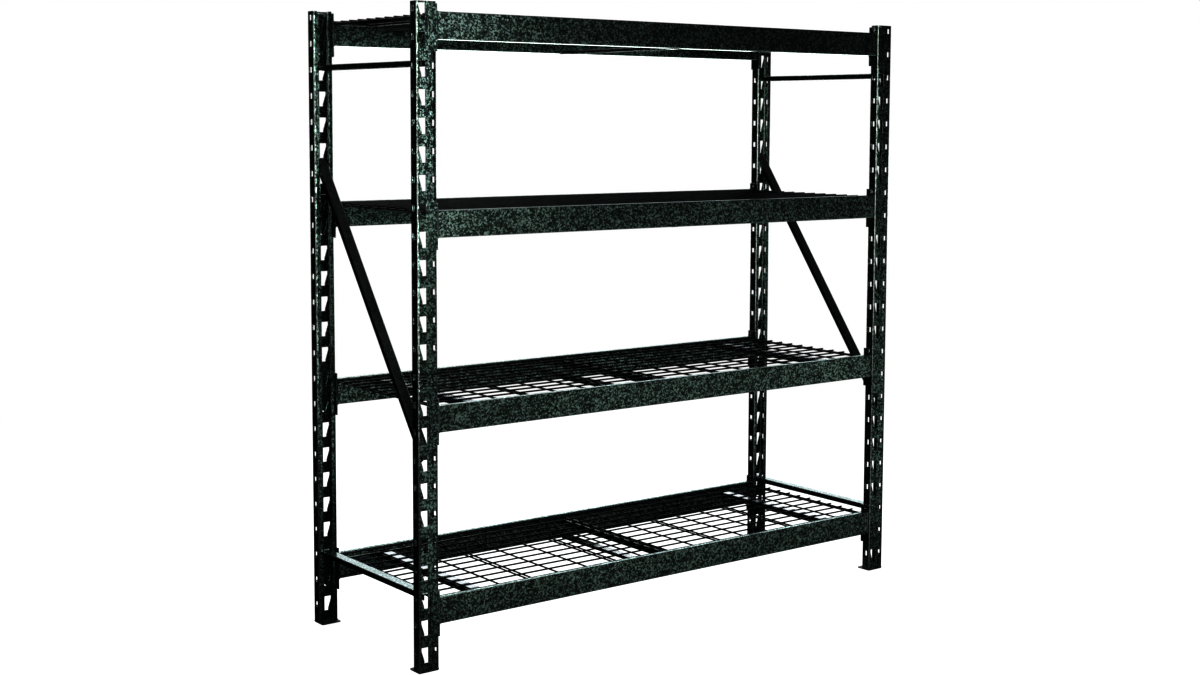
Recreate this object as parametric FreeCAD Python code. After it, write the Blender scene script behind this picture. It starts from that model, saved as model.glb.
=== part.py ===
import FreeCAD, Part
import math
import os

# Boltless steel shelving unit: two end frames joined by four tiers of stepped
# beams, each tier carrying a welded wire deck.
# Millimetres. +X runs along the shelf, +Z is up and the front is at -Y.
# The origin is on the floor at the centre of the footprint.

Vector = FreeCAD.Vector
ALONG_X, ALONG_Y, ALONG_Z = 0, 1, 2     # axis numbers for fillet_edges
OVERCUT = 1.0                           # how far cutters run past a surface

# ---------------------------------------------------------------- overall
SLOT_PITCH = 76.2
N_SLOTS = 24
HEIGHT = N_SLOTS * SLOT_PITCH           # floor to post top
WIDTH = 1828.8                          # over the posts
DEPTH = 609.6                           # over the post webs
HALF_WIDTH = WIDTH / 2.0
HALF_DEPTH = DEPTH / 2.0

N_TIERS = 4
TIER_PITCH = 7 * SLOT_PITCH
FIRST_TIER_TOP = 203.2                  # beam top of the lowest tier


# ---------------------------------------------------------------- helpers
def box(x0, x1, y0, y1, z0, z1):
    return Part.makeBox(x1 - x0, y1 - y0, z1 - z0, Vector(x0, y0, z0))


def prism(points, direction):
    wire = Part.makePolygon(points + [points[0]])
    return Part.Face(wire).extrude(direction)


def fillet_edges(shape, axis, spots, radius):
    """Round the straight edges parallel to axis.

    Each spot holds an edge's other two coordinates, in x, y, z order.
    """
    def is_at(point, spot):
        across = [point[i] for i in range(3) if i != axis]
        return all(abs(a - b) < 1e-4 for a, b in zip(across, spot))

    picked = [edge for edge in shape.Edges
              if any(all(is_at(vertex.Point, spot) for vertex in edge.Vertexes)
                     for spot in spots)]
    return shape.makeFillet(radius, picked)


def largest(shape):
    return max(shape.Solids, key=lambda solid: solid.Volume)


def moved(shape, dx=0.0, dy=0.0, dz=0.0):
    copy = shape.copy()
    copy.translate(Vector(dx, dy, dz))
    return copy


def turned(shape):
    """Half turn about the Z axis."""
    copy = shape.copy()
    copy.rotate(Vector(0, 0, 0), Vector(0, 0, 1), 180.0)
    return copy


def mirror_x(shape):
    return shape.mirror(Vector(0, 0, 0), Vector(1, 0, 0))


def mirror_y(shape):
    return shape.mirror(Vector(0, 0, 0), Vector(0, 1, 0))


def box_on_side(side, x0, x1, y0, y1, z0, z1):
    """Box given for the rear (side 1), flipped to the front for side -1."""
    y_low, y_high = sorted((side * y0, side * y1))
    return box(x0, x1, y_low, y_high, z0, z1)


def export(name, shape):
    shape.exportStep("parts/%s.step" % name)


# ---------------------------------------------------------------- post and foot
# The post is a lipped channel: web to the outside, open towards the other
# post of its end frame.
POST_W = 63.5
POST_D = 31.75
POST_T = 2.0
POST_LIP = 15.0
POST_R = 4.0                            # outer corner radius

# rectangular slots, one column on the web and one on each flange
RECT_TOP = 66.2                         # top edge of the lowest slot
RECT_H = 16.5
RECT_W_WEB = 12.0
RECT_W_FLANGE = 12.5
RECT_X = 50.2                           # centre on the web, from the outer corner
RECT_Y = 16.2                           # centre on the flanges, from the web face

# keyhole slots on the web: straight on one side, narrowing downwards on the other
KEY_TOP = 71.2                          # top edge of the lowest slot
KEY_H = 43.5
KEY_STRAIGHT_X = 29.0
KEY_WIDE_X = 7.5
KEY_NARROW_X = 16.5
KEY_SHOULDER = 9.0                      # straight part below the top edge
KEY_NECK = 6.5                          # straight part above the bottom edge

FOOT_D = 53.0
FOOT_T = 3.0
FOOT_INNER_R = 6.0
FOOT_HOLE_R = 4.5
FOOT_HOLE_Y = 42.0                      # from the web face


def make_keyhole(top):
    bottom = top - KEY_H
    outline = [(KEY_NARROW_X, bottom), (KEY_STRAIGHT_X, bottom),
               (KEY_STRAIGHT_X, top), (KEY_WIDE_X, top),
               (KEY_WIDE_X, top - KEY_SHOULDER), (KEY_NARROW_X, bottom + KEY_NECK)]
    return prism([Vector(x, -OVERCUT, z) for x, z in outline],
                 Vector(0, POST_T + 2 * OVERCUT, 0))


def make_post():
    """Front post with one outer corner at x=0, y=0 and its web face at y=0."""
    w, d, t, lip = POST_W, POST_D, POST_T, POST_LIP
    outer_corners = [(0, 0), (w, 0), (w, d), (0, d)]
    inner_corners = [(w - t, d - t), (w - t, t), (t, t), (t, d - t)]
    outline = (outer_corners[:3] + [(w - lip, d), (w - lip, d - t)] + inner_corners
               + [(lip, d - t), (lip, d), (0, d)])
    body = prism([Vector(x, y, FOOT_T) for x, y in outline],
                 Vector(0, 0, HEIGHT - FOOT_T))
    body = fillet_edges(body, ALONG_Z, outer_corners, POST_R)
    body = fillet_edges(body, ALONG_Z, inner_corners, POST_R - t)

    x0, x1 = RECT_X - RECT_W_WEB / 2, RECT_X + RECT_W_WEB / 2
    y0, y1 = RECT_Y - RECT_W_FLANGE / 2, RECT_Y + RECT_W_FLANGE / 2
    cutters = []
    for k in range(N_SLOTS):
        rise = SLOT_PITCH * k
        top = RECT_TOP + rise
        bottom = top - RECT_H
        cutters += [
            make_keyhole(KEY_TOP + rise),
            box(x0, x1, -OVERCUT, t + OVERCUT, bottom, top),
            box(-OVERCUT, t + OVERCUT, y0, y1, bottom, top),
            box(w - t - OVERCUT, w + OVERCUT, y0, y1, bottom, top)]
    return largest(body.cut(Part.makeCompound(cutters)))


def make_foot():
    """Plate under a post, running past it to the inside, where it has a hole."""
    plate = box(0, POST_W, 0, FOOT_D, 0, FOOT_T)
    plate = fillet_edges(plate, ALONG_Z, [(0, FOOT_D), (POST_W, FOOT_D)], FOOT_INNER_R)
    plate = fillet_edges(plate, ALONG_Z, [(0, 0), (POST_W, 0)], POST_R)
    hole = Part.makeCylinder(FOOT_HOLE_R, FOOT_T + 2 * OVERCUT,
                             Vector(POST_W / 2, FOOT_HOLE_Y, -OVERCUT))
    return largest(plate.cut(hole))


# ---------------------------------------------------------------- frame bars
# Inverted U channels between the webs of the front and rear post.
BAR_W = 30.0
BAR_H = 16.0
BAR_T = 1.8
CHANNEL_R = 2.2                         # top corners of every U channel
TOP_BAR_Z = 1672.0                      # upper face
BOTTOM_BAR_Z = 219.0                    # upper face
DIAG_Z_FRONT = 580.0                    # centreline height at the front web
DIAG_Z_REAR = 1402.0                    # centreline height at the rear web
DIAG_LAND = 0.5                         # depth of the flat on each end's corner
DIAG_CLIP_HALF_W = 40.0
WEB_INSIDE_Y = HALF_DEPTH - POST_T


def u_channel(width, height, thickness, y0, y1, top, x_centre=0.0):
    """Channel along Y, open downwards."""
    left, right = x_centre - width / 2, x_centre + width / 2
    outer = box(left, right, y0, y1, top - height, top)
    outer = fillet_edges(outer, ALONG_Y, [(left, top), (right, top)], CHANNEL_R)
    inner = box(left + thickness, right - thickness, y0 - OVERCUT, y1 + OVERCUT,
                top - height - OVERCUT, top - thickness)
    return largest(outer.cut(inner))


def make_frame_bar(x_centre, top):
    return u_channel(BAR_W, BAR_H, BAR_T, -WEB_INSIDE_Y, WEB_INSIDE_Y, top, x_centre)


def make_diagonal(x_centre):
    """Square-cut brace rising to the rear; one corner of each end meets a web."""
    run = 2 * WEB_INSIDE_Y
    rise = DIAG_Z_REAR - DIAG_Z_FRONT
    angle = math.atan2(rise, run)
    length = math.hypot(run, rise)
    # set each end back along the axis until only its corner, less the land,
    # reaches the web
    setback = (BAR_H / 2 * math.sin(angle) - DIAG_LAND) / math.cos(angle)
    bar = u_channel(BAR_W, BAR_H, BAR_T, setback, length - setback, BAR_H / 2)
    bar.rotate(Vector(0, 0, 0), Vector(1, 0, 0), math.degrees(angle))
    bar.translate(Vector(x_centre, -WEB_INSIDE_Y, DIAG_Z_FRONT))
    clip = box(x_centre - DIAG_CLIP_HALF_W, x_centre + DIAG_CLIP_HALF_W,
               -WEB_INSIDE_Y, WEB_INSIDE_Y, 0, HEIGHT)
    return largest(bar.common(clip))


# ---------------------------------------------------------------- tier layout
# Every tier piece is built with the beam top at z=0.
BEAM_H = 74.5
BEAM_D = 36.0
BEAM_SETBACK = 1.0                      # beam face behind the post web face
BEAM_T = 1.6
BEAM_OUTER_R = 2.4
BEAM_INNER_R = 0.8
RAIL_D = 16.0                           # depth of the raised top rail
LEDGE_DROP = 13.0                       # from the rail top to the deck ledge
LEDGE_CORNER_R = 1.2                    # between rail and ledge

PLATE_T = 2.5                           # connector plate
PLATE_GAP = 0.3                         # between plate and post

# deck supports hook into the ledges, the tie bar into the beam undersides
SUPPORT_W = 32.0
SUPPORT_H = 19.0
SUPPORT_T = 1.6
SUPPORT_TOP = -LEDGE_DROP + SUPPORT_T
SUPPORT_X = 693.0                       # end supports, either side of the centre
SUPPORT_TONGUE_HALF = 12.0
SUPPORT_TONGUE_LAP = 4.0                # onto the support's own channel
SUPPORT_HOOK_Y = (279.3, 281.1)
SUPPORT_SLOT_GAP = 0.4                  # slot past the hook, in Y

TIE_W = 30.0
TIE_H = 10.1
TIE_T = 1.6
TIE_TONGUE_HALF = 11.0
TIE_FLOOR_L = 16.0                      # closed part at each end of the channel
TIE_FLOOR_INSET = 0.4                   # floor edge inside the channel side
TIE_HOOK_Y = (286.3, 288.1)
TIE_SLOT_GAP = 0.3                      # slot past the hook, in Y

HOOK_H = 6.6                            # hooks of the supports and the tie bar
SLOT_SIDE_GAP = 1.0                     # slot past the tongue, in X
BEAM_END_GAP = 0.3                      # cross channel to beam
CROSS_HALF = HALF_DEPTH - BEAM_SETBACK - BEAM_D - BEAM_END_GAP


# ---------------------------------------------------------------- beam
def stepped_bar(half_length, inset, radius):
    """Solid with the beam's section inset, and its ledge corner."""
    face = -HALF_DEPTH + BEAM_SETBACK
    front, rear, step = face + inset, face + BEAM_D - inset, face + RAIL_D - inset
    bottom, ledge, top = -BEAM_H + inset, -LEDGE_DROP - inset, -inset
    corners = [(front, bottom), (rear, bottom), (rear, ledge),
               (step, ledge), (step, top), (front, top)]
    bar = prism([Vector(-half_length, y, z) for y, z in corners],
                Vector(2 * half_length, 0, 0))
    ledge_corner = corners.pop(3)
    return fillet_edges(bar, ALONG_X, corners, radius), ledge_corner


def front_slot(x_centre, tongue_half, hook_y, gap, z0, z1):
    """Cutter in the front beam for one hook; hook_y is given for the rear."""
    half = tongue_half + SLOT_SIDE_GAP
    return box_on_side(-1, x_centre - half, x_centre + half,
                       hook_y[0] - gap, hook_y[1] + gap, z0, z1)


def make_beam():
    """Front beam, rail to the front and ledge to the rear."""
    half = HALF_WIDTH - POST_W - PLATE_GAP - PLATE_T
    outer, ledge_corner = stepped_bar(half, 0, BEAM_OUTER_R)
    outer = fillet_edges(outer, ALONG_X, [ledge_corner], LEDGE_CORNER_R)
    inner, _ = stepped_bar(half + OVERCUT, BEAM_T, BEAM_INNER_R)
    beam = outer.cut(inner)
    slots = [front_slot(x, SUPPORT_TONGUE_HALF, SUPPORT_HOOK_Y, SUPPORT_SLOT_GAP,
                        -LEDGE_DROP - BEAM_T - OVERCUT, -LEDGE_DROP + OVERCUT)
             for x in (-SUPPORT_X, 0.0, SUPPORT_X)]
    slots.append(front_slot(0.0, TIE_TONGUE_HALF, TIE_HOOK_Y, TIE_SLOT_GAP,
                            -BEAM_H - OVERCUT, -BEAM_H + BEAM_T + OVERCUT))
    return largest(beam.cut(Part.makeCompound(slots)))


# ---------------------------------------------------------------- connector
PLATE_UP = 20.0                         # above the beam top
PLATE_DOWN = 107.0                      # below the beam top
PLATE_FRONT = 27.0                      # front leg over the web
PLATE_SIDE = 37.0                       # side leg, from the web face
PLATE_R = 3.0
PLATE_BEVEL = 14.0
CLAW_T = 3.0                            # claws reach into the post's flange slots
CLAW_W = 7.0
CLAW_NECK = 8.0
CLAW_DROP = 6.6
CLAW_LIFT = 0.2                         # neck above the slot's bottom edge
CLAW_GAP = 0.4                          # claw behind the flange
CLAW_EMBED = 0.5                        # neck into the plate
CLAW_SLOTS = (1, 2)                     # post slots used by the lowest tier
WINDOW_W = 9.0                          # window above the upper claw
WINDOW_H = 8.4
WINDOW_RISE = 0.6                       # above the neck


def make_connector():
    """Angle plate for the left end of the front beam."""
    flange = -HALF_WIDTH + POST_W       # post face towards the beam
    web = -HALF_DEPTH                   # front face of the post
    x0, x1 = flange + PLATE_GAP, flange + PLATE_GAP + PLATE_T
    y1, y0 = web - PLATE_GAP, web - PLATE_GAP - PLATE_T
    left = flange - PLATE_FRONT
    bottom = -PLATE_DOWN
    outline = [(x1, y0), (x1, web + PLATE_SIDE), (x0, web + PLATE_SIDE), (x0, y1),
               (left, y1), (left, y0)]
    body = prism([Vector(x, y, bottom) for x, y in outline],
                 Vector(0, 0, PLATE_UP - bottom))
    body = fillet_edges(body, ALONG_Z, [(x1, y0)], PLATE_R)

    # bevelled lower left corner of the front leg
    bevel = [(left - OVERCUT, bottom - OVERCUT),
             (left + PLATE_BEVEL, bottom - OVERCUT),
             (left - OVERCUT, bottom + PLATE_BEVEL)]
    body = body.cut(prism([Vector(x, y0 - OVERCUT, z) for x, z in bevel],
                          Vector(0, PLATE_T + 2 * OVERCUT, 0)))

    y_centre = web + RECT_Y
    y_front, y_rear = y_centre - CLAW_W / 2, y_centre + CLAW_W / 2
    claw_x = flange - POST_T - CLAW_GAP
    for k in CLAW_SLOTS:
        slot_bottom = RECT_TOP + SLOT_PITCH * k - FIRST_TIER_TOP - RECT_H
        neck_bottom = slot_bottom + CLAW_LIFT
        neck_top = neck_bottom + CLAW_NECK
        neck = box(claw_x - CLAW_T, x0 + CLAW_EMBED, y_front, y_rear,
                   neck_bottom, neck_top)
        drop = box(claw_x - CLAW_T, claw_x, y_front, y_rear,
                   neck_bottom - CLAW_DROP, neck_top)
        body = body.fuse(neck).fuse(drop)

    # neck_top is now that of the upper claw
    window_bottom = neck_top + WINDOW_RISE
    body = body.cut(box(x0 - OVERCUT, x1 + OVERCUT,
                        y_centre - WINDOW_W / 2, y_centre + WINDOW_W / 2,
                        window_bottom, window_bottom + WINDOW_H))
    return largest(body.removeSplitter())


# ---------------------------------------------------------------- cross channels
def make_support(x_centre):
    """Deck support whose tongues lie on the ledges and hook down into them."""
    bar = u_channel(SUPPORT_W, SUPPORT_H, SUPPORT_T, -CROSS_HALF, CROSS_HALF,
                    SUPPORT_TOP, x_centre)
    x0, x1 = x_centre - SUPPORT_TONGUE_HALF, x_centre + SUPPORT_TONGUE_HALF
    hook_in, hook_out = SUPPORT_HOOK_Y
    for side in (-1, 1):
        tongue = box_on_side(side, x0, x1, CROSS_HALF - SUPPORT_TONGUE_LAP, hook_out,
                             SUPPORT_TOP - SUPPORT_T, SUPPORT_TOP)
        hook = box_on_side(side, x0, x1, hook_in, hook_out,
                           SUPPORT_TOP - HOOK_H, SUPPORT_TOP)
        bar = bar.fuse(tongue).fuse(hook)
    return largest(bar.removeSplitter())


def make_tie():
    """Tie bar whose tongues pass under the beams and hook up into them."""
    bottom = -BEAM_H - TIE_T
    floor_top = bottom + TIE_T
    bar = u_channel(TIE_W, TIE_H, TIE_T, -CROSS_HALF, CROSS_HALF, bottom + TIE_H)
    floor_half = TIE_W / 2 - TIE_FLOOR_INSET
    half = TIE_TONGUE_HALF
    start = CROSS_HALF - TIE_FLOOR_L
    hook_in, hook_out = TIE_HOOK_Y
    for side in (-1, 1):
        floor = box_on_side(side, -floor_half, floor_half, start, CROSS_HALF,
                            bottom, floor_top)
        tongue = box_on_side(side, -half, half, start, hook_out, bottom, floor_top)
        hook = box_on_side(side, -half, half, hook_in, hook_out,
                           bottom, bottom + HOOK_H)
        bar = bar.fuse(floor).fuse(tongue).fuse(hook)
    return largest(bar.removeSplitter())


# ---------------------------------------------------------------- wire deck
WIRE_R = 2.5
WELD_SINK = 0.5                         # overlap of crossing wires
DECK_HALF_X = 846.0
DECK_HALF_Y = 286.0
LONG_PITCH = 50.8
N_LONG = 12
CROSS_PITCH = 104.0
CROSS_EACH_SIDE = 8                     # cross wire places either side of the centre
PAIR_GAP = 16.0
PAIR_PLACES = (-8, -5, -2, 2, 5, 8)     # places that hold two wires
DECK_GAP = 0.2                          # above the supports


def make_deck():
    """Cross wires along Y, with the long wires welded on top of them."""
    cross_z = SUPPORT_TOP + DECK_GAP + WIRE_R
    long_z = cross_z + 2 * WIRE_R - WELD_SINK
    wires = []
    for i in range(-CROSS_EACH_SIDE, CROSS_EACH_SIDE + 1):
        offsets = (-PAIR_GAP / 2, PAIR_GAP / 2) if i in PAIR_PLACES else (0.0,)
        for offset in offsets:
            start = Vector(i * CROSS_PITCH + offset, -DECK_HALF_Y, cross_z)
            wires.append(Part.makeCylinder(WIRE_R, 2 * DECK_HALF_Y, start,
                                           Vector(0, 1, 0)))
    for j in range(N_LONG):
        start = Vector(-DECK_HALF_X, (j - (N_LONG - 1) / 2.0) * LONG_PITCH, long_z)
        wires.append(Part.makeCylinder(WIRE_R, 2 * DECK_HALF_X, start,
                                       Vector(1, 0, 0)))
    return largest(wires[0].multiFuse(wires[1:]))


# ---------------------------------------------------------------- build
def build_end_frames():
    uprights = {"post": make_post(), "foot_plate": make_foot()}
    for side, x in (("left", -HALF_WIDTH), ("right", HALF_WIDTH - POST_W)):
        for name, shape in uprights.items():
            export("%s_front_%s" % (name, side), moved(shape, x, -HALF_DEPTH))
            export("%s_rear_%s" % (name, side),
                   moved(turned(shape), x + POST_W, HALF_DEPTH))
        x_centre = x + POST_W / 2
        export("frame_top_bar_" + side, make_frame_bar(x_centre, TOP_BAR_Z))
        export("frame_bottom_bar_" + side, make_frame_bar(x_centre, BOTTOM_BAR_Z))
        export("frame_diagonal_" + side, make_diagonal(x_centre))


def build_tiers():
    beam = make_beam()
    connector_left = make_connector()
    connector_right = mirror_x(connector_left)
    pieces = {
        "front_beam": beam,
        "rear_beam": mirror_y(beam),
        "connector_front_left": connector_left,
        "connector_front_right": connector_right,
        "connector_rear_left": mirror_y(connector_left),
        "connector_rear_right": mirror_y(connector_right),
        "centre_support": make_support(0.0),
        "end_support_left": make_support(-SUPPORT_X),
        "end_support_right": make_support(SUPPORT_X),
        "tie_bar": make_tie(),
        "wire_deck": make_deck(),
    }
    for tier in range(N_TIERS):
        beam_top = FIRST_TIER_TOP + TIER_PITCH * tier
        for name, shape in pieces.items():
            export("tier_%d_%s" % (tier + 1, name), moved(shape, dz=beam_top))


os.makedirs("parts", exist_ok=True)
build_end_frames()
build_tiers()
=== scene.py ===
import bpy
import bmesh
import math
import random
from mathutils import Vector, Matrix


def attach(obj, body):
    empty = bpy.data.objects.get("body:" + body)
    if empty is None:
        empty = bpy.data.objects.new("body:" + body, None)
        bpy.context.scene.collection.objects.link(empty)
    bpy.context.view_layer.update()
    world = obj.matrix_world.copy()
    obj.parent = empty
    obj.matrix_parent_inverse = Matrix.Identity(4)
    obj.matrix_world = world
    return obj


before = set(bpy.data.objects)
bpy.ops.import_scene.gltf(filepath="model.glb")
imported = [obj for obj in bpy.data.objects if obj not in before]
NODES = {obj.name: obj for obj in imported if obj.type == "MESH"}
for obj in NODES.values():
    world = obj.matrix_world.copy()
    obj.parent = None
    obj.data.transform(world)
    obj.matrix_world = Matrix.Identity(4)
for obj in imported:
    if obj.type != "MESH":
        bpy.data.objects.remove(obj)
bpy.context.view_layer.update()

random.seed(7)

# ------------------------------------------------------------------ dimensions
HX, HY = 0.9144, 0.3048
TIERS = {1: 0.2032, 2: 0.7366, 3: 1.2700, 4: 1.8034}


# ------------------------------------------------------------------ node helpers
class Tree:
    def __init__(self, mat):
        mat.use_nodes = True
        self.t = mat.node_tree
        self.t.nodes.clear()
        self.out = self.n("ShaderNodeOutputMaterial")
        self.b = self.n("ShaderNodeBsdfPrincipled")
        self.l(self.b.outputs[0], self.out.inputs["Surface"])

    def n(self, kind, **kw):
        node = self.t.nodes.new(kind)
        for k, v in kw.items():
            if k in node.inputs:
                node.inputs[k].default_value = v
            else:
                setattr(node, k, v)
        return node

    def l(self, a, b):
        self.t.links.new(a, b)

    def coords(self):
        return self.n("ShaderNodeTexCoord").outputs["Object"]

    def noise(self, vec, scale, detail=2.0, rough=0.5, distortion=0.0):
        k = self.n("ShaderNodeTexNoise")
        k.inputs["Scale"].default_value = scale
        k.inputs["Detail"].default_value = detail
        k.inputs["Roughness"].default_value = rough
        k.inputs["Distortion"].default_value = distortion
        self.l(vec, k.inputs["Vector"])
        return k

    def ramp(self, fac, stops, interp="LINEAR"):
        r = self.n("ShaderNodeValToRGB")
        r.color_ramp.interpolation = interp
        els = r.color_ramp.elements
        while len(els) < len(stops):
            els.new(0.5)
        for e, (p, c) in zip(els, stops):
            e.position = p
            e.color = (c, c, c, 1) if isinstance(c, (int, float)) else (*c, 1)
        self.l(fac, r.inputs["Fac"])
        return r.outputs["Color"]

    def mix(self, fac, a, b, blend="MIX"):
        m = self.n("ShaderNodeMix", data_type="RGBA", blend_type=blend)
        for sock, val in ((m.inputs[0], fac), (m.inputs[6], a), (m.inputs[7], b)):
            if isinstance(val, (int, float)):
                sock.default_value = val
            elif isinstance(val, tuple):
                sock.default_value = (*val, 1)
            else:
                self.l(val, sock)
        return m.outputs[2]

    def math(self, op, a, b=0.0, c=None, clamp=False):
        m = self.n("ShaderNodeMath", operation=op, use_clamp=clamp)
        for i, v in enumerate((a, b, c)):
            if v is None:
                continue
            if isinstance(v, (int, float)):
                m.inputs[i].default_value = v
            else:
                self.l(v, m.inputs[i])
        return m.outputs[0]

    def vmath(self, op, a, b=None, scale=None):
        m = self.n("ShaderNodeVectorMath", operation=op)
        self.l(a, m.inputs[0])
        if b is not None:
            if isinstance(b, tuple):
                m.inputs[1].default_value = b
            else:
                self.l(b, m.inputs[1])
        if scale is not None:
            m.inputs["Scale"].default_value = scale
        return m.outputs["Value"] if op in ("DOT_PRODUCT", "LENGTH") else m.outputs["Vector"]

    def edge(self, radius=0.0014):
        """0 on flat faces, up to 1 along convex edges and folds."""
        bev = self.n("ShaderNodeBevel", samples=4)
        bev.inputs["Radius"].default_value = radius
        geo = self.n("ShaderNodeNewGeometry")
        d = self.vmath("DOT_PRODUCT", bev.outputs["Normal"], geo.outputs["Normal"])
        inv = self.math("SUBTRACT", 1.0, d, clamp=True)
        return self.ramp(inv, [(0.0, 0.0), (0.06, 0.15), (0.32, 1.0)])


def hammertone(name, dark, light, cell=0.0044, rough=0.30, amount=1.0, wear=0.5,
               spec=0.08, bump=0.5, metal=0.97, corners=True, fold=False,
               glaze=0.0):
    """Black hammertone powder coat: pooled dark dimples in a grey-green metallic skin."""
    mat = bpy.data.materials.new(name)
    t = Tree(mat)
    co = t.coords()
    warp = t.noise(co, 160.0, 2.0)
    off = t.vmath("SUBTRACT", warp.outputs["Color"], (0.5, 0.5, 0.5))
    off = t.vmath("SCALE", off, scale=cell * 1.2)
    wco = t.vmath("ADD", co, off)
    vor = t.n("ShaderNodeTexVoronoi", feature="SMOOTH_F1")
    vor.inputs["Scale"].default_value = 1.0 / cell
    vor.inputs["Smoothness"].default_value = 0.45
    t.l(wco, vor.inputs["Vector"])
    cells = vor.outputs["Distance"]
    idn = t.n("ShaderNodeTexVoronoi", feature="F1")
    idn.inputs["Scale"].default_value = 1.0 / (cell * 1.15)
    t.l(wco, idn.inputs["Vector"])
    sep = t.n("ShaderNodeSeparateColor")
    t.l(idn.outputs["Color"], sep.inputs[0])
    fine = t.noise(co, 1.0 / (cell * 0.30), 3.0, 0.62).outputs["Fac"]
    mid = t.noise(co, 1.0 / (cell * 2.6), 3.0, 0.6).outputs["Fac"]
    broad = t.noise(co, 2.6, 4.0, 0.6).outputs["Fac"]
    # thin metallic skin stands between the pooled dimples, some cells more than others
    skin = t.ramp(cells, [(0.18, 0.0), (0.44, 1.0)])
    one = t.ramp(sep.outputs[0], [(0.50, 0.0), (0.84, 1.0)])
    fleck = t.ramp(fine, [(0.47, 0.0), (0.60, 1.0)])
    patch = t.ramp(mid, [(0.36, 0.70), (0.62, 1.0)])
    m1 = t.math("MULTIPLY", one, t.math("MULTIPLY_ADD", skin, 0.7, 0.3))
    m2 = t.math("MULTIPLY", t.math("MULTIPLY", fleck, skin), 0.25)
    m3 = t.math("MAXIMUM", m1, m2)
    m3 = t.math("MULTIPLY", m3, patch)
    m3 = t.math("MULTIPLY", m3, amount, clamp=True)
    var = t.ramp(broad, [(0.3, 0.78), (0.7, 1.15)])
    cool = t.mix(t.ramp(sep.outputs[1], [(0.55, 0.0), (0.85, 0.6)]), light, COOL)
    base = t.mix(m3, dark, cool)
    base = t.mix(1.0, base, var, "MULTIPLY")
    # paint thins over edges and rounded corners, and the steel shows paler there
    edge = t.edge()
    if corners:
        nrm = t.n("ShaderNodeBevel", samples=4)
        nrm.inputs["Radius"].default_value = 0.0012
        nrm = nrm.outputs["Normal"]
        ns = t.n("ShaderNodeSeparateXYZ")
        t.l(t.vmath("ABSOLUTE", nrm), ns.inputs[0])
        xy = t.math("MULTIPLY", ns.outputs[0], ns.outputs[1])
        yz = t.math("MULTIPLY", ns.outputs[1], ns.outputs[2])
        zx = t.math("MULTIPLY", ns.outputs[2], ns.outputs[0])
        rnd = t.math("ADD", t.math("ADD", xy, yz), zx)
        edge = t.math("MAXIMUM", edge, t.ramp(rnd, [(0.08, 0.0), (0.30, 1.0)]))
    wmask = t.ramp(t.noise(co, 150.0, 4.0, 0.65).outputs["Fac"], [(0.42, 0.3), (0.60, 1.0)])
    worn = t.math("MULTIPLY", edge, wmask)
    worn = t.math("MULTIPLY", worn, wear, clamp=True)
    col = t.mix(worn, base, (0.72, 0.80, 0.74))
    t.l(col, t.b.inputs["Base Color"])
    r = t.math("MULTIPLY_ADD", t.noise(co, 14.0, 3.0).outputs["Fac"], 0.05, rough)
    t.l(r, t.b.inputs["Roughness"])
    mm = t.math("MULTIPLY", t.math("MULTIPLY", m3, 5.0, clamp=True), metal)
    mm = t.math("MAXIMUM", mm, t.math("MULTIPLY", worn, 3.0, clamp=True))
    if glaze:
        # upward faces flow out smooth and glossy
        g2 = t.n("ShaderNodeNewGeometry")
        g3 = t.n("ShaderNodeSeparateXYZ")
        t.l(g2.outputs["Normal"], g3.inputs[0])
        gz = t.ramp(g3.outputs["Z"], [(0.80, 0.0), (0.95, glaze)])
        t.b.inputs["Coat Roughness"].default_value = 0.12
        t.b.inputs["Coat IOR"].default_value = 1.65
        t.l(gz, t.b.inputs["Coat Weight"])
    t.l(mm, t.b.inputs["Metallic"])
    t.b.inputs["Specular IOR Level"].default_value = spec
    t.l(t.mix(mm, (0.30, 1.0, 0.75), (1.0, 1.0, 1.0)), t.b.inputs["Specular Tint"])
    hgt = t.math("MULTIPLY_ADD", fine, 0.4, cells)
    bev = t.n("ShaderNodeBevel", samples=4)
    bev.inputs["Radius"].default_value = 0.0012
    shade = bev.outputs["Normal"]
    if fold:
        # the web bows slightly towards its folded corners
        pos = t.n("ShaderNodeSeparateXYZ")
        t.l(co, pos.inputs[0])
        ax = t.math("ABSOLUTE", pos.outputs["X"])
        out = t.ramp(t.math("MULTIPLY", t.math("SUBTRACT", 0.9144, ax), 40.0),
                     [(0.12, 1.0), (0.46, 0.0)])
        inn = t.ramp(t.math("MULTIPLY", t.math("SUBTRACT", ax, 0.8509), 40.0),
                     [(0.12, 1.0), (0.46, 0.0)])
        sg = t.math("SIGN", pos.outputs["X"])
        gn = t.n("ShaderNodeNewGeometry")
        gs = t.n("ShaderNodeSeparateXYZ")
        t.l(t.vmath("ABSOLUTE", gn.outputs["Normal"]), gs.inputs[0])
        flat = t.ramp(gs.outputs["Y"], [(0.90, 0.0), (0.98, 1.0)])
        tx = t.math("MULTIPLY", t.math("MULTIPLY", t.math("SUBTRACT", out, inn), sg), flat)
        tv = t.n("ShaderNodeCombineXYZ")
        t.l(t.math("MULTIPLY", tx, 0.56), tv.inputs[0])
        shade = t.vmath("NORMALIZE", t.vmath("ADD", shade, tv.outputs[0]))
    bp = t.n("ShaderNodeBump")
    t.l(shade, bp.inputs["Normal"])
    bp.inputs["Strength"].default_value = bump
    bp.inputs["Distance"].default_value = 0.0006
    t.l(hgt, bp.inputs["Height"])
    t.l(bp.outputs["Normal"], t.b.inputs["Normal"])
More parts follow.
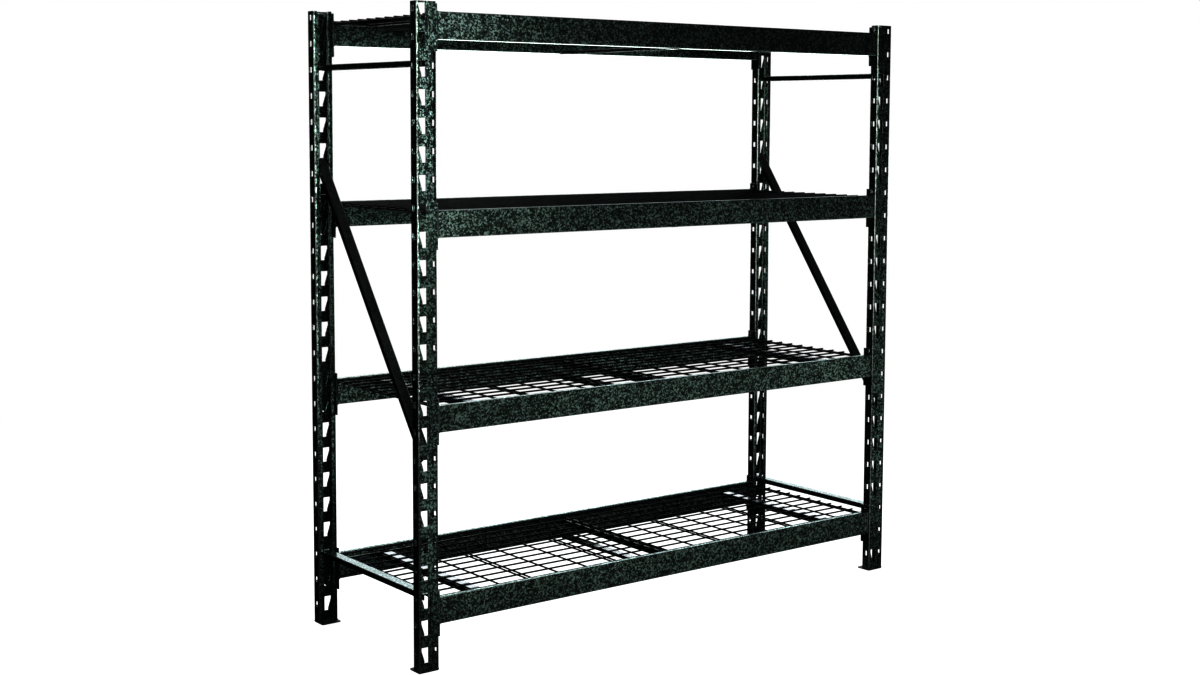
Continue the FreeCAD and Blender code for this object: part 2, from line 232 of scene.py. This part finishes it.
    # a share of the skin is rougher than the rest
    haze = t.n("ShaderNodeBsdfPrincipled")
    haze.inputs["Specular IOR Level"].default_value = spec
    for sock in ("Base Color", "Metallic", "Specular Tint", "Normal"):
        t.l(t.b.inputs[sock].links[0].from_socket, haze.inputs[sock])
    haze.inputs["Roughness"].default_value = 0.29
    both = t.n("ShaderNodeMixShader")
    both.inputs[0].default_value = 0.32
    t.l(t.b.outputs[0], both.inputs[1])
    t.l(haze.outputs[0], both.inputs[2])
    t.l(both.outputs[0], t.out.inputs["Surface"])
    return mat


def satin(name, dark, light, rough=0.34, wear=0.4, spec=0.5, peel=0.0011, bump=0.25,
          dust=0.35, glaze=0.0):
    """Satin black powder coat with orange peel and a little settled dust."""
    mat = bpy.data.materials.new(name)
    t = Tree(mat)
    co = t.coords()
    peeln = t.noise(co, 1.0 / peel, 2.0, 0.5).outputs["Fac"]
    mott = t.noise(co, 55.0, 4.0, 0.6).outputs["Fac"]
    broad = t.noise(co, 3.1, 3.0, 0.5).outputs["Fac"]
    base = t.mix(t.ramp(mott, [(0.35, 0.0), (0.7, 1.0)]), dark, light)
    base = t.mix(1.0, base, t.ramp(broad, [(0.3, 0.8), (0.7, 1.15)]), "MULTIPLY")
    geo = t.n("ShaderNodeNewGeometry")
    up = t.n("ShaderNodeSeparateXYZ")
    t.l(geo.outputs["Normal"], up.inputs[0])
    upf = t.math("MULTIPLY", t.math("SUBTRACT", up.outputs["Z"], 0.55, clamp=True), 2.0,
                 clamp=True)
    dn = t.ramp(t.noise(co, 240.0, 5.0, 0.7).outputs["Fac"], [(0.45, 0.0), (0.75, 1.0)])
    dm = t.math("MULTIPLY", t.math("MULTIPLY", upf, dn), dust)
    base = t.mix(dm, base, (0.20, 0.21, 0.215))
    worn = t.math("MULTIPLY", t.edge(0.0010),
                  t.ramp(t.noise(co, 130.0, 4.0, 0.65).outputs["Fac"],
                         [(0.45, 0.1), (0.62, 1.0)]))
    worn = t.math("MULTIPLY", worn, wear, clamp=True)
    t.l(t.mix(worn, base, (0.17, 0.18, 0.185)), t.b.inputs["Base Color"])
    r = t.math("MULTIPLY_ADD", mott, 0.14, rough)
    t.l(r, t.b.inputs["Roughness"])
    if glaze:
        gz = t.ramp(up.outputs["Z"], [(0.80, 0.0), (0.95, glaze)])
        t.b.inputs["Coat Roughness"].default_value = 0.12
        t.b.inputs["Coat IOR"].default_value = 1.8
        t.l(gz, t.b.inputs["Coat Weight"])
    t.b.inputs["Specular IOR Level"].default_value = spec
    bp = t.n("ShaderNodeBump")
    bp.inputs["Strength"].default_value = bump
    bp.inputs["Distance"].default_value = 0.0002
    t.l(peeln, bp.inputs["Height"])
    t.l(bp.outputs["Normal"], t.b.inputs["Normal"])
    return mat


def wire_coat(name, dark, light, rough=0.38):
    """Thin powder coat over drawn wire: faint draw marks, pooling at the welds."""
    mat = bpy.data.materials.new(name)
    t = Tree(mat)
    co = t.coords()
    n1 = t.noise(co, 420.0, 3.0, 0.6).outputs["Fac"]
    n2 = t.noise(co, 38.0, 3.0, 0.6).outputs["Fac"]
    base = t.mix(t.ramp(n1, [(0.35, 0.0), (0.7, 1.0)]), dark, light)
    base = t.mix(1.0, base, t.ramp(n2, [(0.3, 0.75), (0.7, 1.2)]), "MULTIPLY")
    t.l(base, t.b.inputs["Base Color"])
    t.l(t.math("MULTIPLY_ADD", n2, 0.16, rough - 0.06), t.b.inputs["Roughness"])
    t.b.inputs["Specular IOR Level"].default_value = 0.2
    bp = t.n("ShaderNodeBump")
    bp.inputs["Strength"].default_value = 0.22
    bp.inputs["Distance"].default_value = 0.00015
    t.l(n1, bp.inputs["Height"])
    t.l(bp.outputs["Normal"], t.b.inputs["Normal"])
    return mat


GREY = (0.56, 0.78, 0.68)
COOL = (0.54, 0.70, 0.78)
DARK = (0.0016, 0.0024, 0.0022)
MATS = {
    "post": hammertone("post_hammertone", DARK, (0.44, 0.62, 0.54), cell=0.0038, rough=0.13, wear=0.6,
                       bump=0.40, fold=True),
    "connector": hammertone("connector_hammertone", DARK, (0.42, 0.60, 0.52), cell=0.0037,
                            rough=0.13, wear=0.9, bump=0.36),
    "beam": hammertone("beam_hammertone", DARK, (0.56, 0.76, 0.66), cell=0.0038,
                       rough=0.13, wear=0.85, bump=0.40),
    "frame_bar": hammertone("bar_hammertone", DARK,
                            (0.34, 0.46, 0.40), cell=0.0036, rough=0.15, amount=0.8,
                            wear=0.35, glaze=0.55),
    "support": satin("support_satin", (0.0040, 0.0050, 0.0060), (0.010, 0.012, 0.014),
                     rough=0.16, spec=0.7, glaze=0.7),
    "tie_bar": satin("tie_bar_satin", (0.0040, 0.0050, 0.0060), (0.010, 0.012, 0.014),
                     rough=0.16, spec=0.7, glaze=1.0),
    "foot_plate": satin("foot_plate_satin", (0.005, 0.006, 0.006), (0.016, 0.019, 0.018),
                        rough=0.40, wear=0.8),
    "wire_deck": wire_coat("wire_coat", (0.0025, 0.0028, 0.0032), (0.008, 0.009, 0.010)),
    "weld": satin("weld_coat", (0.006, 0.008, 0.007), (0.022, 0.028, 0.025), rough=0.34,
                  wear=0.2, peel=0.0016, bump=0.5, dust=0.1),
}


def slot_of(node):
    if node.startswith("post"):
        return "post"
    if node.startswith("foot"):
        return "foot_plate"
    if node.startswith("frame"):
        return "frame_bar"
    if "connector" in node:
        return "connector"
    if "beam" in node:
        return "beam"
    if "support" in node:
        return "support"
    if "tie_bar" in node:
        return "tie_bar"
    return "wire_deck"


for name, ob in NODES.items():
    m = MATS[slot_of(name)]
    ob.data.materials.clear()
    ob.data.materials.append(m)
    for p in ob.data.polygons:
        p.material_index = 0


# ------------------------------------------------------------------ weld beads
def tube(bm, path, radius, closed, sides=8, step=0.0022, ripple=0.22):
    """Rippled bead along a polyline; returns nothing, adds to bm."""
    pts = [Vector(p) for p in path]
    if closed:
        pts.append(pts[0].copy())
    dense = []
    for a, b in zip(pts[:-1], pts[1:]):
        n = max(1, int((b - a).length / step))
        for i in range(n):
            dense.append(a.lerp(b, i / n))
    if not closed:
        dense.append(pts[-1])
    # soften the corners
    n = len(dense)
    soft = []
    for i in range(n):
        if closed:
            soft.append((dense[i - 1] + dense[i] * 2 + dense[(i + 1) % n]) / 4)
        elif 0 < i < n - 1:
            soft.append((dense[i - 1] + dense[i] * 2 + dense[i + 1]) / 4)
        else:
            soft.append(dense[i])
    rings = []
    up = None
    for i, p in enumerate(soft):
        a = soft[i - 1] if (closed or i > 0) else p
        b = soft[(i + 1) % n] if (closed or i < n - 1) else p
        d = (b - a).normalized()
        if up is None:
            up = d.orthogonal().normalized()
        up = (up - d * up.dot(d))
        up = up.normalized() if up.length > 1e-6 else d.orthogonal().normalized()
        side = d.cross(up)
        r = radius * (1.0 + ripple * (0.5 + 0.5 * math.sin(i * 2.1)) - ripple * 0.5
                      + random.uniform(-0.06, 0.06))
        if not closed and i in (0, n - 1):
            r *= 0.45
        rings.append([bm.verts.new(p + up * (r * math.cos(2 * math.pi * k / sides))
                                   + side * (r * math.sin(2 * math.pi * k / sides)))
                      for k in range(sides)])
    for i in range(n if closed else n - 1):
        ra, rb = rings[i], rings[(i + 1) % n]
        off = 0
        if closed and i == n - 1:
            # line the last ring up with the first
            best = 1e9
            for o in range(sides):
                s = sum((ra[k].co - rb[(k + o) % sides].co).length for k in range(sides))
                if s < best:
                    best, off = s, o
        for k in range(sides):
            bm.faces.new((ra[k], ra[(k + 1) % sides], rb[(k + 1 + off) % sides],
                          rb[(k + off) % sides]))
    if not closed:
        bm.faces.new(list(reversed(rings[0])))
        bm.faces.new(rings[-1])


def make_piece(name, bm, material, body):
    bmesh.ops.recalc_face_normals(bm, faces=bm.faces[:])
    me = bpy.data.meshes.new(name)
    bm.to_mesh(me)
    bm.free()
    for p in me.polygons:
        p.use_smooth = True
    me.materials.append(material)
    ob = bpy.data.objects.new(name, me)
    bpy.context.scene.collection.objects.link(ob)
    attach(ob, body)
    return ob


def mm(*v):
    return tuple(x / 1000.0 for x in v)


# beam ends welded to the connector plates
for n, z in TIERS.items():
    for fr, sy in (("front", -1), ("rear", 1)):
        bm = bmesh.new()
        for sx in (-1, 1):
            x = sx * (848.1 - 0.7)
            o = 0.7
            prof = [(0 - o, -74.5 - o), (0 - o, 0 + o), (16 + o, 0 + o), (16 + o, -13 + o),
                    (36 + o, -13 + o), (36 + o, -74.5 - o)]
            path = [mm(x, sy * (303.8 - py), z * 1000 + pz) for py, pz in prof]
            tube(bm, path, 0.0016, True)
        make_piece(f"tier_{n}_{fr}_beam_welds", bm, MATS["weld"], f"tier_{n}")

# end-frame bars welded inside the posts, posts welded to their foot plates
for side, sx in (("left", -1), ("right", 1)):
    bm = bmesh.new()
    xc = sx * (914.4 - 31.75)
    for ztop in (1672.0, 219.0):
        for sy in (-1, 1):
            y = sy * (302.8 - 0.6)
            path = [mm(xc - 15.6, y, ztop - 16), mm(xc - 15.6, y, ztop + 0.6),
                    mm(xc + 15.6, y, ztop + 0.6), mm(xc + 15.6, y, ztop - 16)]
            tube(bm, path, 0.0015, False)
    # brace: its square-cut ends meet the webs with one corner
    path = [mm(xc - 15.6, -300.4, 589.0), mm(xc - 15.6, -302.2, 594.2),
            mm(xc + 15.6, -302.2, 594.2), mm(xc + 15.6, -300.4, 589.0)]
    tube(bm, path, 0.0015, False)
    for dx in (-15.4, 15.4):
        tube(bm, [mm(xc + dx, 302.2, 1385.6), mm(xc + dx, 302.0, 1391.0),
                  mm(xc + dx, 299.4, 1394.0)], 0.0015, False)
    make_piece(f"frame_{side}_bar_welds", bm, MATS["weld"], "end_frames")
    bm = bmesh.new()
    x0, x1 = sorted((sx * 914.4, sx * 850.9))
    for sy in (-1, 1):
        yo = sy * 304.8
        yi = sy * (304.8 - 31.0)
        o = 0.5
        path = [mm(x0 - o + 0.7, yi, 3.5), mm(x0 - o + 0.7, yo - sy * 0.2, 3.5),
                mm(x1 + o - 0.7, yo - sy * 0.2, 3.5), mm(x1 + o - 0.7, yi, 3.5)]
        tube(bm, path, 0.0014, False)
    make_piece(f"frame_{side}_foot_welds", bm, MATS["weld"], "end_frames")

# resistance-weld nuggets where the deck wires cross
LONG_Y = [(j - 5.5) * 50.8 for j in range(12)]
CROSS_X = []
for i in range(-8, 9):
    x = i * 104.0
    CROSS_X += [x - 8.0, x + 8.0] if i in (-8, -5, -2, 2, 5, 8) else [x]
for n, z in TIERS.items():
    bm = bmesh.new()
    zc = z * 1000 - 13.0 + 1.6 + 0.2 + 2.5 + 2.25
    for x in CROSS_X:
        for y in LONG_Y:
            rx = random.uniform(2.5, 2.9)
            ry = random.uniform(2.5, 2.9)
            seg, rings = 8, 3
            grid = []
            top = bm.verts.new(mm(x, y, zc + 1.3))
            bot = bm.verts.new(mm(x, y, zc - 1.3))
            for r in range(1, rings + 1):
                a = math.pi * r / (rings + 1)
                grid.append([bm.verts.new(mm(x + rx * math.sin(a) * math.cos(2 * math.pi * s / seg),
                                             y + ry * math.sin(a) * math.sin(2 * math.pi * s / seg),
                                             zc + 1.3 * math.cos(a))) for s in range(seg)])
            for s in range(seg):
                q = (s + 1) % seg
                bm.faces.new((top, grid[0][s], grid[0][q]))
                bm.faces.new((bot, grid[-1][q], grid[-1][s]))
                for r in range(rings - 1):
                    bm.faces.new((grid[r][s], grid[r + 1][s], grid[r + 1][q], grid[r][q]))
    make_piece(f"tier_{n}_deck_weld_nuggets", bm, MATS["wire_deck"], f"deck_{n}")


# ------------------------------------------------------------------ floor
def floor():
    bm = bmesh.new()
    rings, seg, rad = 24, 96, 60.0
    last = None
    c = bm.verts.new((0, 0, -0.0005))
    for r in range(1, rings + 1):
        q = rad * (r / rings) ** 2
        ring = [bm.verts.new((q * math.cos(2 * math.pi * s / seg),
                              q * math.sin(2 * math.pi * s / seg), -0.0005))
                for s in range(seg)]
        for s in range(seg):
            n = (s + 1) % seg
            if last is None:
                bm.faces.new((c, ring[s], ring[n]))
            else:
                bm.faces.new((last[s], ring[s], ring[n], last[n]))
        last = ring
    me = bpy.data.meshes.new("studio_floor")
    bm.to_mesh(me)
    bm.free()
    mat = bpy.data.materials.new("studio_floor_paint")
    t = Tree(mat)
    co = t.coords()
    col = t.mix(t.ramp(t.noise(co, 1.5, 4.0).outputs["Fac"], [(0.3, 0.0), (0.7, 1.0)]),
                (0.86, 0.865, 0.87), (0.90, 0.90, 0.90))
    t.l(col, t.b.inputs["Base Color"])
    t.b.inputs["Roughness"].default_value = 0.85
    t.b.inputs["Specular IOR Level"].default_value = 0.1
    # the camera sees a bright floor that fades into the backdrop; the steel sees a dim painted glow
    # instead, brighter in front, to the right and far behind, standing in for studio light in its
    # reflections
    dist = t.vmath("LENGTH", co)
    far = t.ramp(t.math("MULTIPLY", dist, 0.1), [(0.10, 0.0), (0.42, 1.0)])
    lift = t.n("ShaderNodeEmission", Strength=1.0)
    lift.inputs["Color"].default_value = (1, 1, 1, 1)
    lit = t.n("ShaderNodeAddShader")
    glow = t.n("ShaderNodeEmission", Strength=0.95)
    glow.inputs["Color"].default_value = (1, 1, 1, 1)
    t.l(t.b.outputs[0], lit.inputs[0])
    t.l(glow.outputs[0], lit.inputs[1])
    seen = t.n("ShaderNodeMixShader")
    t.l(far, seen.inputs[0])
    t.l(lit.outputs[0], seen.inputs[1])
    t.l(lift.outputs[0], seen.inputs[2])
    xyz = t.n("ShaderNodeSeparateXYZ")
    t.l(co, xyz.inputs[0])
    # painted glow seen only by the steel: strongest in front of and right of the shelf, fading with
    # distance
    front = t.math("MULTIPLY_ADD", xyz.outputs["Y"], -0.50, -0.02, clamp=True)
    rightw = t.math("MULTIPLY_ADD", xyz.outputs["X"], 0.7, 0.9, clamp=True)
    deep = t.math("MULTIPLY_ADD", xyz.outputs["Y"], -0.8, -1.6, clamp=True)
    left = t.math("MULTIPLY_ADD", xyz.outputs["X"], -0.66, 1.8, clamp=True)
    rightw = t.math("MULTIPLY", rightw, t.math("MULTIPLY_ADD", t.math("MULTIPLY", deep, left),
                                               -0.8, 1.0))
    close = t.math("MULTIPLY", t.math("SUBTRACT", 1.0, deep, clamp=True),
                   t.math("MULTIPLY_ADD", xyz.outputs["X"], -0.6, 0.66, clamp=True))
    rightw = t.math("MULTIPLY_ADD", t.math("MULTIPLY", close, rightw), 1.0, rightw)
    reach = t.ramp(t.math("MULTIPLY", dist, 0.05), [(0.25, 1.0), (0.80, 0.34)])
    near = t.math("MULTIPLY", t.math("MULTIPLY", front, rightw), reach)
    ybox = t.ramp(t.math("ABSOLUTE", xyz.outputs["Y"]), [(0.25, 1.0), (0.50, 0.0)])
    xbox = t.ramp(t.math("MULTIPLY", t.math("ABSOLUTE", t.math("SUBTRACT", xyz.outputs["X"], 0.7)), 0.4),
                  [(0.55, 1.0), (0.90, 0.0)])
    under = t.math("MULTIPLY", ybox, xbox)
    near = t.math("MULTIPLY_ADD", near, FLOOR_FRONT, t.math("MULTIPLY", under, FLOOR_UNDER))
    # the far floor behind, right, glows brightly as a painted stand-in for a bright wall
    fx = t.math("MULTIPLY_ADD", xyz.outputs["X"], 0.25, -0.25, clamp=True)
    fy = t.math("MULTIPLY_ADD", xyz.outputs["Y"], 0.25, -0.50, clamp=True)
    fd = t.ramp(t.math("MULTIPLY", dist, 0.05), [(0.25, 0.0), (0.60, 1.0)])
    back = t.math("MULTIPLY", t.math("MULTIPLY", fx, fy), fd)
    near = t.math("MULTIPLY_ADD", back, FLOOR_BACK, near)
    # emission the steel sees: a painted glow on the floor, not a lamp
    painted_floor_glow = t.n("ShaderNodeEmission")
    t.l(near, painted_floor_glow.inputs["Strength"])
    painted_floor_glow.inputs["Color"].default_value = (0.92, 1.0, 0.96, 1)
    path = t.n("ShaderNodeLightPath")
    last_mix = t.n("ShaderNodeMixShader")
    t.l(path.outputs["Is Camera Ray"], last_mix.inputs[0])
    t.l(painted_floor_glow.outputs[0], last_mix.inputs[1])
    t.l(seen.outputs[0], last_mix.inputs[2])
    t.l(last_mix.outputs[0], t.out.inputs["Surface"])
    me.materials.append(mat)
    ob = bpy.data.objects.new("studio_floor", me)
    bpy.context.scene.collection.objects.link(ob)
    return ob


FLOOR_FRONT, FLOOR_UNDER, FLOOR_BACK = 0.47, 0.0, 6.0
floor()


# ------------------------------------------------------------------ light
def area(name, loc, target, sx, sy, power, color=(1, 1, 1)):
    d = bpy.data.lights.new(name, "AREA")
    d.shape = "RECTANGLE"
    d.size, d.size_y = sx, sy
    d.energy = power
    d.color = color
    o = bpy.data.objects.new(name, d)
    bpy.context.scene.collection.objects.link(o)
    o.location = loc
    o.rotation_mode = "QUATERNION"
    o.rotation_quaternion = (Vector(target) - Vector(loc)).to_track_quat("-Z", "Y")
    return o


area("key_front", (1.25, -4.3, 1.75), (-0.9, 0.0, 1.5), 0.4, 1.5, 10.0, (0.95, 1.0, 0.975))
area("edge_strip", (-2.3, -4.2, 1.5), (-0.5, -0.3, 1.2), 1.6, 2.4, 80, (1.0, 1.0, 0.97))
area("top_soft", (0.4, 2.6, 4.2), (0.0, 0.0, 0.6), 3.5, 2.0, 60)

world = bpy.data.worlds.new("studio")
bpy.context.scene.world = world
world.use_nodes = True
wt = world.node_tree
wt.nodes.clear()
wo = wt.nodes.new("ShaderNodeOutputWorld")
bg_cam = wt.nodes.new("ShaderNodeBackground")
bg_cam.inputs["Color"].default_value = (1, 1, 1, 1)
bg_cam.inputs["Strength"].default_value = 1.0
bg_env = wt.nodes.new("ShaderNodeBackground")
mixs = wt.nodes.new("ShaderNodeMixShader")
lp = wt.nodes.new("ShaderNodeLightPath")
tc = wt.nodes.new("ShaderNodeTexCoord")


def wnode(kind, a, b, op):
    m = wt.nodes.new(kind)
    m.operation = op
    for i, v in enumerate((a, b)):
        if v is None:
            continue
        if isinstance(v, (int, float, tuple)):
            m.inputs[i].default_value = v
        else:
            wt.links.new(v, m.inputs[i])
    return m.outputs["Value"] if "Value" in m.outputs else m.outputs[0]


def lobe(direction, width, gain):
    """Soft bright patch of the studio around a direction."""
    d = Vector(direction).normalized()
    dot = wnode("ShaderNodeVectorMath", tc.outputs["Generated"], tuple(d), "DOT_PRODUCT")
    x = wnode("ShaderNodeMath", dot, 1.0, "SUBTRACT")
    x = wnode("ShaderNodeMath", x, 1.0 / (1.0 - math.cos(math.radians(width))), "MULTIPLY")
    x = wnode("ShaderNodeMath", x, None, "EXPONENT")
    return wnode("ShaderNodeMath", x, gain, "MULTIPLY")


gen = wt.nodes.new("ShaderNodeSeparateXYZ")
wt.links.new(tc.outputs["Generated"], gen.inputs[0])
# bright wall behind, a band of low elevation
az = wnode("ShaderNodeVectorMath", tc.outputs["Generated"], (0.56, 0.83, 0.0), "DOT_PRODUCT")
az = wnode("ShaderNodeMath", wnode("ShaderNodeMath", az, 0.55, "SUBTRACT"), 3.0, "MULTIPLY")
az.node.use_clamp = True
el = wnode("ShaderNodeMath", gen.outputs["Z"], 0.25, "SUBTRACT")
el = wnode("ShaderNodeMath", el, 7.0, "MULTIPLY")
el = wnode("ShaderNodeMath", el, 2.0, "POWER")
el = wnode("ShaderNodeMath", wnode("ShaderNodeMath", el, -1.0, "MULTIPLY"), None, "EXPONENT")
stren = wnode("ShaderNodeMath", wnode("ShaderNodeMath", az, el, "MULTIPLY"), 3.0, "MULTIPLY")
stren = wnode("ShaderNodeMath", stren, lobe((0.0, 0.35, 1.0), 32.0, 0.22), "ADD")
stren = wnode("ShaderNodeMath", stren, 0.004, "ADD")
bg_env.inputs["Color"].default_value = (0.90, 0.965, 1.0, 1)
wt.links.new(stren, bg_env.inputs["Strength"])
wt.links.new(lp.outputs["Is Camera Ray"], mixs.inputs[0])
wt.links.new(bg_env.outputs[0], mixs.inputs[1])
wt.links.new(bg_cam.outputs[0], mixs.inputs[2])
wt.links.new(mixs.outputs[0], wo.inputs["Surface"])

# ------------------------------------------------------------------ camera
F_PX, CX, CY = 1674.1, 609.45, 263.75
YAW, PITCH, ROLL = math.radians(52.288), math.radians(4.914), math.radians(-0.239)
CAM = Vector((-3.24178, -4.15799, 1.515594))
v = Vector((math.cos(PITCH) * math.cos(YAW), math.cos(PITCH) * math.sin(YAW),
            -math.sin(PITCH)))
r = Vector((math.sin(YAW), -math.cos(YAW), 0.0))
dn = v.cross(r)
c_, s_ = math.cos(ROLL), math.sin(ROLL)
right = r * c_ + dn * s_
down = dn * c_ - r * s_
cam = bpy.data.cameras.new("camera")
cam.sensor_width = 36.0
cam.lens = F_PX / 1200.0 * 36.0
cam.clip_start, cam.clip_end = 0.05, 200.0
cam_ob = bpy.data.objects.new("camera", cam)
bpy.context.scene.collection.objects.link(cam_ob)
rot = Matrix((right, -down, -v)).transposed()
cam_ob.matrix_world = Matrix.Translation(CAM) @ rot.to_4x4()
bpy.context.scene.camera = cam_ob


def shift_driver(prop, value):
    """The lens shift holds only at the main viewpoint."""
    fc = cam.driver_add(prop)
    for m in list(fc.modifiers):
        fc.modifiers.remove(m)
    fc.driver.type = "SUM"
    var = fc.driver.variables.new()
    var.type = "SINGLE_PROP"
    var.targets[0].id_type = "OBJECT"
    var.targets[0].id = cam_ob
    var.targets[0].data_path = "location[1]"
    for y, k in ((CAM.y - 0.05, 0.0), (CAM.y - 0.01, value), (CAM.y + 0.01, value),
                 (CAM.y + 0.05, 0.0)):
        fc.keyframe_points.insert(y, k).interpolation = "LINEAR"
    fc.extrapolation = "CONSTANT"


shift_driver("shift_x", 0.5 - CX / 1200.0)
shift_driver("shift_y", (CY - 337.5) / 1200.0)

bpy.context.scene.view_settings.view_transform = "Standard"
bpy.context.scene.view_settings.look = "None"
bpy.context.scene.view_settings.gamma = 0.65
